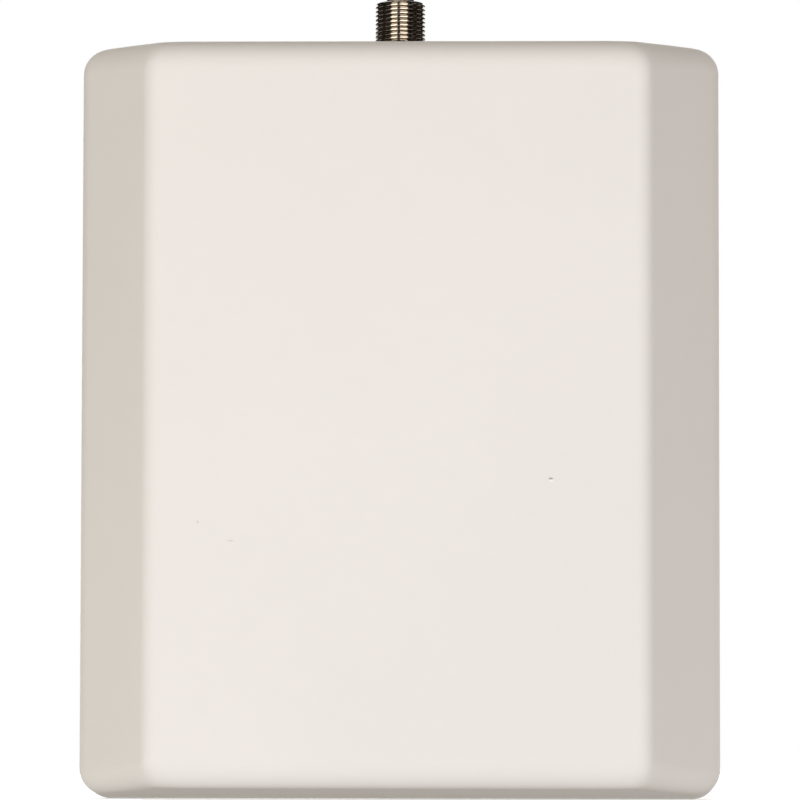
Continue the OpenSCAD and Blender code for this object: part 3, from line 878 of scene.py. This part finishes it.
@dataclass
class RearCover:
    """The cover that closes the radome's back, with its screws and bracket inserts, in mm."""

    plastic: Finish
    plating: Finish
    brass: Finish
    half_w: float = extent("rear_cover", Along.ACROSS) / 2
    half_h: float = extent("rear_cover", Along.UP) / 2
    corner_round: float = 3.55
    cover_t: float = span("cover_seal", Along.DEEP)[0]
    edge: float = 0.45
    corner_steps: int = 12
    head_d: float = 5.6
    screw_x: float = (extent("cover_screws", Along.ACROSS) - head_d) / 2
    screw_y: float = (extent("cover_screws", Along.UP) - head_d) / 2
    screw_hole_d: float = 3.1
    screw_steps: int = 48
    sink_d: float = 5.813
    sink_l: float = 1.45
    insert_d: float = 5.6
    insert_l: float = extent("bracket_inserts", Along.DEEP)
    insert_grid: float = (extent("bracket_inserts", Along.ACROSS) - insert_d) / 2
    insert_steps: int = 96
    pocket_d: float = 5.7
    pocket_boss_d: float = 9.2
    pocket_roof: float = 1.0
    post_head_d: float = 5.6
    post_x: float = (extent("reflector_screws", Along.ACROSS) - post_head_d) / 2
    post_y: float = (extent("reflector_screws", Along.UP) - post_head_d) / 2
    post_d: float = 8.0
    post_z: float = span("rear_cover", Along.DEEP)[1]
    post_bore: float = 3.1
    recess_half_w: float = 22.0
    recess_y: tuple[float, float] = (-53.0, -33.0)
    recess_l: float = 0.4
    recess_round: float = 1.5
    head_z: float = span("cover_screws", Along.DEEP)[0]
    head_edge: float = 0.12
    head_land: float = 0.02
    shank_d: float = 2.9
    shank_core_d: float = 2.2
    shank_pitch: float = 1.1
    shank_lead: float = 0.3
    shank_z: float = 9.0
    tip_d: float = shank_core_d / 3
    tip_z: float = span("cover_screws", Along.DEEP)[1]
    cross_w: float = 0.8
    cross_l: float = 3.36
    cross_waist: float = 1.25
    cross_depth: float = 1.0
    cross_draft: float = 0.62
    insert_bore: float = 3.3
    insert_major: float = 3.9
    insert_pitch: float = 0.7
    insert_rows: int = 10
    insert_groove_l: float = 1.2
    insert_groove: float = 0.2
    insert_lead: float = 0.35
    knurls: int = 24
    knurl: float = 0.14
    knurl_relief: float = 0.03

    def plate(self) -> None:
        """Makes the cover with its screw holes, insert pockets, posts and bare label recess."""
        piece = Piece("cover_plate", "cover_plastic", ("rear_cover",))
        sides = rounding(self.edge)
        sides += [(i, self.cover_t - d) for i, d in reversed(rounding(self.edge / 2))]
        rows = [piece.loop(outline(self.half_w - i, self.half_h - i, self.corner_round - i, z,
                                   self.corner_steps)) for i, z in sides]
        piece.strip(rows)
        back, inside = [rows[0]], [rows[-1]]
        base, edge, roof = self.cover_t, self.edge, self.insert_l + self.pocket_roof
        screw, pocket, bore = self.screw_hole_d / 2, self.pocket_d / 2, self.post_bore / 2
        boss, post = self.pocket_boss_d / 2, self.post_d / 2
        grid = (self.insert_grid, self.insert_grid)
        features = (
            ((self.screw_x, self.screw_y), back, inside,
             [(0.0, self.sink_d / 2), (self.sink_l, screw), (base, screw)]),
            (grid, back, None, [(0.0, pocket), (self.insert_l, pocket)]),
            (grid, inside, None,
             [(base, boss + edge), (base + edge, boss), (roof - edge, boss), (roof, boss - edge)]),
            ((self.post_x, self.post_y), inside, None,
             [(base, post + edge), (base + edge, post), (self.post_z - edge / 2, post),
              (self.post_z, post - edge / 2), (self.post_z, bore), (base, bore)]))
        for i, j in CORNERS:
            for (x, y), start, end, form in features:
                loops = piece.turn(form, standing(i * x, j * y))
                start.append(loops[0])
                if end is None:
                    piece.cap(loops[-1])
                else:
                    end.append(loops[-1])
        low, high = self.recess_y
        middle, half = (low + high) / 2, (high - low) / 2
        recess = [piece.loop(point + upright(0, middle, 0) for point in outline(
            self.recess_half_w - i, half - i, self.recess_round, i, self.corner_steps))
            for i in (0.0, self.recess_l)]
        piece.strip(recess)
        piece.cap(recess[-1])
        piece.fill([*back, recess[0]])
        piece.fill(inside)
        piece.settle(self.plastic)

    def cross(self, z: float, share: float) -> list[Point]:
        """Gives the outline of a screw's cross recess.

        Args:
            z: its depth.
            share: how much of the full cross is left there.

        Returns:
            Its points, about the screw's axis.
        """
        half, tip = self.cross_w / 2, self.cross_l / 2 * share
        waist = half * self.cross_waist
        points = []
        for c, s in ((1, 0), (0, 1), (-1, 0), (0, -1)):
            points += [(x * c - y * s, x * s + y * c, z)
                       for x, y in ((tip, -half * share), (tip, half * share), (waist, waist))]
        return points

    def screws(self) -> None:
        """Makes the four countersunk screws."""
        piece = Piece("cover_screw_set", "zinc_steel", ("cover_screws",), THREAD_CREASE)
        thread = Helix(self.shank_d / 2, self.shank_core_d / 2, self.shank_pitch)
        rows = [(self.head_z, self.head_d / 2 - self.head_edge),
                (self.head_z + self.head_land, self.head_d / 2), (self.sink_l, self.shank_d / 2)]
        rows += thread.rows(self.sink_l + self.shank_lead, self.shank_z, self.shank_pitch, self.shank_pitch)
        rows += [(self.tip_z, self.tip_d / 2)]
        for i, j in CORNERS:
            seat = standing(i * self.screw_x, j * self.screw_y)
            loops = piece.turn(rows, seat, self.screw_steps)
            piece.cap(loops[-1])
            cross = [piece.loop(seat(*point) for point in self.cross(z, share)) for z, share in (
                (self.head_z, 1.0), (self.head_z + self.cross_depth, self.cross_draft))]
            piece.fill((loops[0], cross[0]))
            piece.strip(cross)
            piece.cap(cross[-1])
        piece.settle(self.plating)

    def teeth(self, angle: float) -> float:
        """Gives the radius of an insert's knurl."""
        return self.insert_d / 2 - self.knurl * abs(math.sin(self.knurls * angle / 2))

    def inserts(self) -> None:
        """Makes the four knurled inserts that take a bracket's screws."""
        piece = Piece("insert_set", "insert_brass", ("bracket_inserts",), THREAD_CREASE)
        outer, bore, lead, length = self.insert_d / 2, self.insert_bore / 2, self.insert_lead, self.insert_l
        thread = Helix(bore, self.insert_major / 2, self.insert_pitch)
        waist, plain = outer - self.insert_groove, outer - self.knurl - self.knurl_relief
        low, high = (length - self.insert_groove_l) / 2, (length + self.insert_groove_l) / 2
        rows = [(0.0, plain), (lead, plain), (lead, self.teeth), (low, self.teeth), (low, waist),
                (high, waist), (high, self.teeth), (length - lead, self.teeth), (length, waist)]
        inner = thread.rows(lead / 2, length - lead / 2, lead, lead, self.insert_rows)
        rows += [(length, bore + lead), *reversed(inner), (0.0, bore + lead)]
        for i, j in CORNERS:
            piece.turn(rows, standing(i * self.insert_grid, j * self.insert_grid), self.insert_steps,
                       closed=True)
        piece.settle(self.brass)


@dataclass
class ThreadedSocket:
    """The threaded socket on the upper end wall, with its bush and insulator, in mm."""

    plating: Finish
    rubber: Finish
    plastic: Finish
    socket_z: float = sum(span("connector_body", Along.DEEP)) / 2
    spigot_start: float = span("connector_body", Along.UP)[0]
    spigot_d: float = 3.2
    spigot_bore: float = 1.8
    tab_t: float = 1.0
    hex_t: float = 4.0
    hex_end: float = span("lock_washer", Along.UP)[0] - tab_t
    hex_af: float = extent("connector_body", Along.DEEP)
    hex_edge: float = 0.45
    hex_cut: float = 0.1
    body_d: float = 9.038
    bush_end: float = span("connector_seal", Along.UP)[1]
    neck_gap: float = 0.1
    neck_lead: float = 0.2
    neck_d: float = 8.551
    thread_d: float = 9.525
    thread_pitch: float = 0.794
    thread_flat: float = 0.34
    thread_valley: float = 0.16
    thread_phase: float = 0.208
    thread_chamfer: float = 0.26
    run_out: float = 0.15
    nose_l: float = 0.8
    nose_d: float = 5.5
    nose_tip_d: float = 5.0
    nose_end: float = span("connector_body", Along.UP)[1]
    bore_d: float = 4.2
    bore_start: float = span("connector_insulator", Along.UP)[0]
    edge: float = 0.15
    flange_d: float = extent("connector_seal", Along.ACROSS)
    flange_t: float = 2.0
    flange_start: float = span("connector_seal", Along.UP)[0]
    bush_d: float = 10.1
    bush_bore: float = 8.651
    bush_edge: float = 0.4
    insulator_d: float = extent("connector_insulator", Along.ACROSS)
    insulator_end: float = span("connector_insulator", Along.UP)[1]
    insulator_bore: float = 2.9
    mouth_l: float = 1.4
    mouth_d: float = 1.7
    steps: int = 96

    def seat(self, across: float, deep: float, along: float) -> Vector:
        """Puts a point of the socket's axis frame in the shared frame."""
        return Vector((across, deep - self.socket_z, along)) * MM

    def hexagon(self, angle: float) -> float:
        """Gives the hexagon's radius, with a corner at each side."""
        return self.hex_af / 2 / math.cos(angle % (TURN / 6) - TURN / 12)

    def hex_face(self, angle: float) -> float:
        """Gives the radius of the hexagon's faces, where its corners are turned off."""
        return min(self.hexagon(angle), self.hex_af / 2 + self.hex_cut)

    def body(self) -> None:
        """Makes the socket's body: spigot, hexagon, neck, thread, nose and bore."""
        piece = Piece("socket_body", "nickel_plate", ("connector_body",), THREAD_CREASE)
        edge, spigot, bore = self.edge, self.spigot_d / 2, self.bore_d / 2
        hex_start = self.hex_end - self.hex_t
        neck_start = self.flange_start - self.neck_lead
        thread_end = self.nose_end - self.nose_l
        thread = Helix(self.thread_d / 2, self.neck_d / 2, self.thread_pitch, self.thread_flat,
                       self.thread_valley, thread_end - self.thread_phase)
        rows = [(self.spigot_start, self.spigot_bore / 2), (self.spigot_start, spigot - edge),
                (self.spigot_start + edge, spigot), (hex_start, spigot), (hex_start, self.hex_face),
                (hex_start + self.hex_edge, self.hexagon), (self.hex_end - self.hex_edge, self.hexagon),
                (self.hex_end, self.hex_face), (self.hex_end, self.body_d / 2),
                (neck_start - edge, self.body_d / 2), (neck_start, self.neck_d / 2)]
        rows += thread.rows(self.bush_end + self.neck_gap, thread_end, self.run_out, self.thread_chamfer)
        rows += [(thread_end, self.nose_d / 2 + edge), (thread_end + edge, self.nose_d / 2),
                 (self.nose_end - edge, self.nose_tip_d / 2 + edge), (self.nose_end, self.nose_tip_d / 2),
                 (self.nose_end, bore + edge), (self.nose_end - edge, bore), (self.bore_start, bore),
                 (self.bore_start, self.spigot_bore / 2)]
        piece.turn(rows, self.seat, self.steps, closed=True)
        piece.settle(self.plating)

    def bush(self) -> None:
        """Makes the bush that seals the wall round the socket."""
        piece = Piece("wall_bush", "black_rubber", ("connector_seal",))
        bore, body, flange = self.bush_bore / 2, self.bush_d / 2, self.flange_d / 2
        flange_end = self.flange_start + self.flange_t
        rows = [(self.flange_start, bore)]
        rows += [(self.flange_start + d, flange - i) for i, d in rounding(self.bush_edge)]
        rows += [(flange_end - d, flange - i) for i, d in reversed(rounding(self.bush_edge / 2))]
        rows += [(flange_end, body)]
        rows += [(self.bush_end - d, body - i) for i, d in reversed(rounding(self.bush_edge))]
        rows += [(self.bush_end, bore)]
        piece.turn(rows, self.seat, self.steps, closed=True)
        piece.settle(self.rubber)

    def insulator(self) -> None:
        """Makes the insulator in the socket's mouth."""
        piece = Piece("socket_mouth", "socket_insulator", ("connector_insulator",))
        outer, bore, mouth = self.insulator_d / 2, self.insulator_bore / 2, self.mouth_d / 2
        mouth_start = self.insulator_end - self.mouth_l
        rows = [(self.bore_start, bore), (self.bore_start, outer),
                (self.insulator_end - self.edge, outer), (self.insulator_end, outer - self.edge)]
        rows += [(self.insulator_end - d, mouth + i) for i, d in rounding(self.bush_edge)]
        rows += [(mouth_start, mouth), (mouth_start, bore)]
        piece.turn(rows, self.seat, self.steps, closed=True)
        piece.settle(self.plastic)


@dataclass
class InnerStack:
    """The sealed parts, kept as the solids they are: arms, plates, cable and fixings."""

    finishes: dict[Finish, tuple[str, ...]]

    def dress(self) -> None:
        """Gives each kept node its finish."""
        for finish, nodes in self.finishes.items():
            for node in nodes:
                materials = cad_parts[node].data.materials
                materials.clear()
                materials.append(finish.material())
                LOG.info("dressed %s in %s", node, finish.name)


# Studio


def heading(bearing: float, elevation: float) -> Vector:
    """Gives a direction, from its bearing to the viewer's right and its elevation, in degrees."""
    b, e = math.radians(bearing), math.radians(elevation)
    return Vector((math.sin(b) * math.cos(e), -math.cos(b) * math.cos(e), math.sin(e)))


def aimed(toward: Vector) -> Euler:
    """Turns a lamp that stands in a direction back to the part."""
    return (-toward).to_track_quat("-Z", "Y").to_euler()


@dataclass(frozen=True)
class Lamp:
    """A soft lamp: its place and how much of the view it fills, in degrees, and how bright it is."""

    name: str
    bearing: float
    elevation: float
    wide: float
    tall: float
    radiance: float
    colour: Colour = WHITE
    mirrored: bool = False


@dataclass(frozen=True)
class Card:
    """A curved card that only mirrored rays see: its place in degrees, its brightness and its reach."""

    name: str
    bearings: tuple[float, float]
    elevations: tuple[float, float]
    colour: Colour
    reach: float = 1.8


@dataclass
class Studio:
    """The pale floor, the white surroundings, the soft lamps and the cards."""

    lamps: tuple[Lamp, ...]
    cards: tuple[Card, ...]
    ambient: Colour = (0.202, 0.173, 0.134)
    lamp_reach: float = 1.4
    floor_reach: float = 3.0
    floor_tone: float = 0.5
    floor_glow: float = 0.5
    sun_bearing: float = -8.0
    sun_elevation: float = 58.0
    sun_spread: float = 32.0
    sun_strength: float = 3.9
    card_steps: int = 24

    def surround(self) -> None:
        """Makes the world, white to the eye and a plain soft light to everything else."""
        world = bpy.data.worlds.new("white_surround")
        graph = Graph(world)
        colour = graph.mix(graph.shown(), tint(self.ambient), tint(WHITE))
        shader = graph.add("ShaderNodeBackground", sockets={"Color": colour, "Strength": 1.0})
        graph.show(shader, "ShaderNodeOutputWorld")
        bpy.context.scene.world = world

    def sheet(self, name: str, points: Sequence[Sequence[Vector]]) -> tuple[bpy.types.Object, Graph]:
        """Makes a piece of the stage from rows of points.

        Args:
            name: the stage piece's name.
            points: its rows.

        Returns:
            The object, and the empty tree of its material.
        """
        mesh = bmesh.new()
        rows = [[mesh.verts.new(point) for point in row] for row in points]
        for low, high in zip(rows, rows[1:]):
            for k in range(len(low) - 1):
                mesh.faces.new((low[k], low[k + 1], high[k + 1], high[k]))
        data = bpy.data.meshes.new(name)
        mesh.to_mesh(data)
        mesh.free()
        material = bpy.data.materials.new(name)
        data.materials.append(material)
        made = add_object(name, data)
        return made, Graph(material)

    def floor(self) -> None:
        """Lays the pale floor under the part, which keeps its shadow."""
        low, far = CAD_BOX[0][2], self.floor_reach
        corners = [[Vector((x, y, low)) for x in (-far, far)] for y in (-far, far)]
        made, graph = self.sheet("floor", corners)
        made.visible_diffuse = made.visible_shadow = False
        plain = graph.add("ShaderNodeBsdfDiffuse", sockets={"Color": tint(WHITE, self.floor_tone)})
        glow = graph.add("ShaderNodeEmission", sockets={"Strength": graph.shown() * self.floor_glow})
        graph.show(graph.add("ShaderNodeAddShader", sockets={0: plain, 1: glow}))

    def sun(self) -> None:
        """Lights the floor alone, so that it stays pale round the part's shadow."""
        data = bpy.data.lights.new("floor_light", "SUN")
        data.angle = math.radians(self.sun_spread)
        data.energy = self.sun_strength
        made = add_object("floor_light", data)
        made.rotation_euler = aimed(heading(self.sun_bearing, self.sun_elevation))
        lit = bpy.data.collections.new("lit_by_floor_light")
        lit.objects.link(bpy.data.objects["floor"])
        made.light_linking.receiver_collection = lit

    def hang(self, card: Card) -> None:
        """Hangs one card, out of sight of all but mirrored rays.

        Args:
            card: the card.
        """
        shares = [k / self.card_steps for k in range(self.card_steps + 1)]
        (left, right), (low, high) = card.bearings, card.elevations
        rows = [[heading(left + (right - left) * s, low + (high - low) * t) * card.reach
                 for s in shares] for t in shares]
        made, graph = self.sheet(card.name, rows)
        made.visible_camera = made.visible_diffuse = made.visible_shadow = False
        made.visible_transmission = made.visible_volume_scatter = False
        graph.show(graph.add("ShaderNodeEmission", sockets={"Color": (*card.colour, 1.0), "Strength": 1.0}))

    def light(self, lamp: Lamp) -> None:
        """Sets up one lamp, aimed at the part.

        Args:
            lamp: the lamp.
        """
        data = bpy.data.lights.new(lamp.name, "AREA")
        data.shape = "RECTANGLE"
        data.size = 2 * self.lamp_reach * math.tan(math.radians(lamp.wide) / 2)
        data.size_y = 2 * self.lamp_reach * math.tan(math.radians(lamp.tall) / 2)
        data.energy = lamp.radiance * math.pi * data.size * data.size_y
        data.color = lamp.colour
        made = add_object(lamp.name, data)
        toward = heading(lamp.bearing, lamp.elevation)
        made.location = toward * self.lamp_reach
        made.rotation_euler = aimed(toward)
        made.visible_camera = False
        made.visible_glossy = lamp.mirrored

    def build(self) -> None:
        """Sets up the whole studio."""
        self.surround()
        self.floor()
        self.sun()
        for card in self.cards:
            self.hang(card)
        for lamp in self.lamps:
            self.light(lamp)
        LOG.info("studio has %d lamps and %d cards", len(self.lamps), len(self.cards))


@dataclass
class PhotoCamera:
    """The camera at the photograph's place, in metres, with its lens in mm."""

    place: Point = (0.0217, -0.9462, -0.0644)
    aim: Point = (0.0, -0.019, 0.0)
    roll: float = 0.0018
    lens: float = 219.98
    sensor: float = 36.0
    shift: tuple[float, float] = (0.0008, 0.02335)
    near: float = 0.01

    def build(self) -> None:
        """Sets the scene's camera."""
        data = bpy.data.cameras.new("photo_camera")
        data.lens = self.lens
        data.sensor_width = self.sensor
        data.shift_x, data.shift_y = self.shift
        data.clip_start = self.near
        made = add_object("photo_camera", data)
        made.location = self.place
        look = (Vector(self.aim) - Vector(self.place)).to_track_quat("-Z", "Y").to_matrix()
        made.rotation_euler = (look @ Matrix.Rotation(self.roll, 3, "Z")).to_euler()
        bpy.context.scene.camera = made


# The antenna


RADOME = MouldedPlastic("radome_plastic", (0.817, 0.789, 0.756), 0.6, 0.01, ior=1.42, marks_and_painted_light=(
    # Painted highlight on the lower side of a small raised nib on the front.
    MarkAndPaintedLight((0.02872, FRONT_Y, -0.01292), (0.0006, 0.002, 0.0003), (0.93, 0.9, 0.87)),
    # Painted shade on the upper side of the same nib; the bump itself is real.
    MarkAndPaintedLight((0.02864, FRONT_Y, -0.01246), (0.0006, 0.002, 0.00028), (0.36, 0.34, 0.31)),
    MarkAndPaintedLight((-0.0309, FRONT_Y, -0.0241), (0.00085, 0.002, 0.00025), (0.68, 0.65, 0.61)),
    MarkAndPaintedLight((-0.0371, FRONT_Y, -0.0206), (0.0003, 0.002, 0.0004), (0.68, 0.65, 0.61))))
COVER = MouldedPlastic("cover_plastic", (0.76, 0.73, 0.685), 0.52, 0.02)
# The darker second colour fills the thread's roots: tarnish and painted shade in the grooves.
SOCKET = ThreadPlating("socket_plating", (0.4, 0.365, 0.32), 0.17, 0.003, Working.TURNED_UP,
                       (0.26, 0.22, 0.175), streak=0.85, axis=(0.0, -0.01605, 0.0), root=0.0043,
                       crest=0.00465)
RUBBER = SoftRubber("black_rubber", (0.02, 0.02, 0.021), 0.62, 0.03)
INSULATOR = MouldedPlastic("socket_insulator", (0.82, 0.8, 0.76), 0.38, 0.004)
SCREWS = WorkedMetal("zinc_steel", (0.66, 0.66, 0.64), 0.3, 0.003, Working.TURNED_THROUGH, (0.34, 0.33, 0.3))
INSERTS = WorkedMetal("insert_brass", (0.83, 0.6, 0.27), 0.27, 0.003, Working.TURNED_THROUGH,
                      (0.36, 0.22, 0.09))

INNER: dict[Finish, tuple[str, ...]] = {
    SoftRubber("seal_foam", (0.05, 0.05, 0.052), 0.85, 0.1,
               layers=(BLOOM, replace(PORES, cells=1800.0))): ("cover_seal",),
    SCREWS: ("reflector_screws", "post_screws", "lock_washer"),
    WorkedMetal("sheet_aluminium", (0.82, 0.82, 0.83), 0.33, 0.003, Working.ROLLED,
                (0.56, 0.56, 0.57)): ("reflector", "director"),
    WorkedMetal("arm_brass", (0.82, 0.59, 0.27), 0.3, 0.003, Working.ROLLED,
                (0.36, 0.22, 0.09)): ("upper_arm", "lower_arm"),
    WorkedMetal("post_brass", (0.82, 0.6, 0.28), 0.25, 0.003, Working.TURNED_THROUGH,
                (0.38, 0.24, 0.1)): ("upper_post", "lower_post"),
    MouldedPlastic("nylon", (0.74, 0.73, 0.68), 0.42, 0.006): (
        "arm_spacers", "director_spacers", "stack_screws", "stack_nuts", "cable_saddle"),
    MouldedPlastic("cable_jacket", (0.2, 0.085, 0.04), 0.35, 0.004): ("coax_jacket",),
    WorkedMetal("tinned_copper", (0.74, 0.72, 0.68), 0.34, 0.003, Working.DRAWN,
                (0.44, 0.38, 0.31)): ("coax_braid",),
    WorkedMetal("bare_copper", (0.87, 0.47, 0.3), 0.28, 0.003, Working.DRAWN,
                (0.36, 0.16, 0.09)): ("feed_wire",),
    MouldedPlastic("cable_dielectric", (0.83, 0.83, 0.81), 0.4, 0.003): ("coax_dielectric",),
    WorkedMetal("solder", (0.66, 0.66, 0.66), 0.36, 0.01, Working.FLOWED,
                (0.4, 0.4, 0.39)): ("solder_joints",),
    WorkedMetal("nickel_plate", (0.74, 0.7, 0.63), 0.24, 0.003, Working.TURNED_UP,
                (0.4, 0.36, 0.3)): ("connector_nut", "crimp_ferrule"),
    WorkedMetal("contact_bronze", (0.78, 0.6, 0.38), 0.28, 0.003, Working.TURNED_UP,
                (0.36, 0.24, 0.13)): ("connector_contact",),
}

LAMPS = (
    Lamp("left_lamp", -33.0, -8.0, 34.0, 44.0, 4.07, (1.0, 0.965, 0.91)),
    Lamp("front_lamp", 7.5, -14.0, 33.0, 30.0, 2.75, (0.677, 0.812, 1.0), mirrored=True),
    Lamp("right_fill", 66.0, -10.0, 44.0, 50.0, 1.75, (1.0, 0.935, 0.9)),
    Lamp("rear_left_fill", -165.0, 18.0, 60.0, 50.0, 1.25),
    Lamp("rear_right_fill", 165.0, 18.0, 60.0, 50.0, 1.25),
    Lamp("top_fill", 180.0, 46.0, 60.0, 40.0, 1.4),
)
CARD_BAND = (0.0, 60.0)
FLAG_REACH = 0.35
CARDS = (
    Card("left_flag", (-160.0, -43.0), CARD_BAND, (0.03, 0.029, 0.028), FLAG_REACH),
    Card("left_sheen", (-43.0, -13.0), CARD_BAND, (3.9, 3.6, 3.2)),
    Card("slit_card", (-13.0, 0.0), CARD_BAND, (0.02, 0.01, 0.006), FLAG_REACH),
    Card("front_sheen", (0.0, 34.0), CARD_BAND, (3.6, 3.3, 2.92)),
    Card("right_flag", (34.0, 80.0), CARD_BAND, (0.01, 0.006, 0.004), FLAG_REACH),
    Card("far_flag", (80.0, 160.0), CARD_BAND, (0.03, 0.029, 0.028), FLAG_REACH),
    Card("canopy_card", (-180.0, 180.0), (60.0, 90.0), (0.03, 0.024, 0.018)),
)


def main() -> None:
    """Builds the antenna and its studio in order, and reports each piece."""
    logging.basicConfig(level=logging.INFO, format="%(name)s: %(message)s")
    bpy.context.scene.view_settings.view_transform = "Standard"
    PhotoCamera().build()
    Housing(RADOME).build()
    cover = RearCover(COVER, SCREWS, INSERTS)
    cover.plate()
    cover.screws()
    cover.inserts()
    socket = ThreadedSocket(SOCKET, RUBBER, INSULATOR)
    socket.body()
    socket.bush()
    socket.insulator()
    InnerStack(INNER).dress()
    Studio(LAMPS, CARDS).build()


if __name__ == "__main__":
    main()
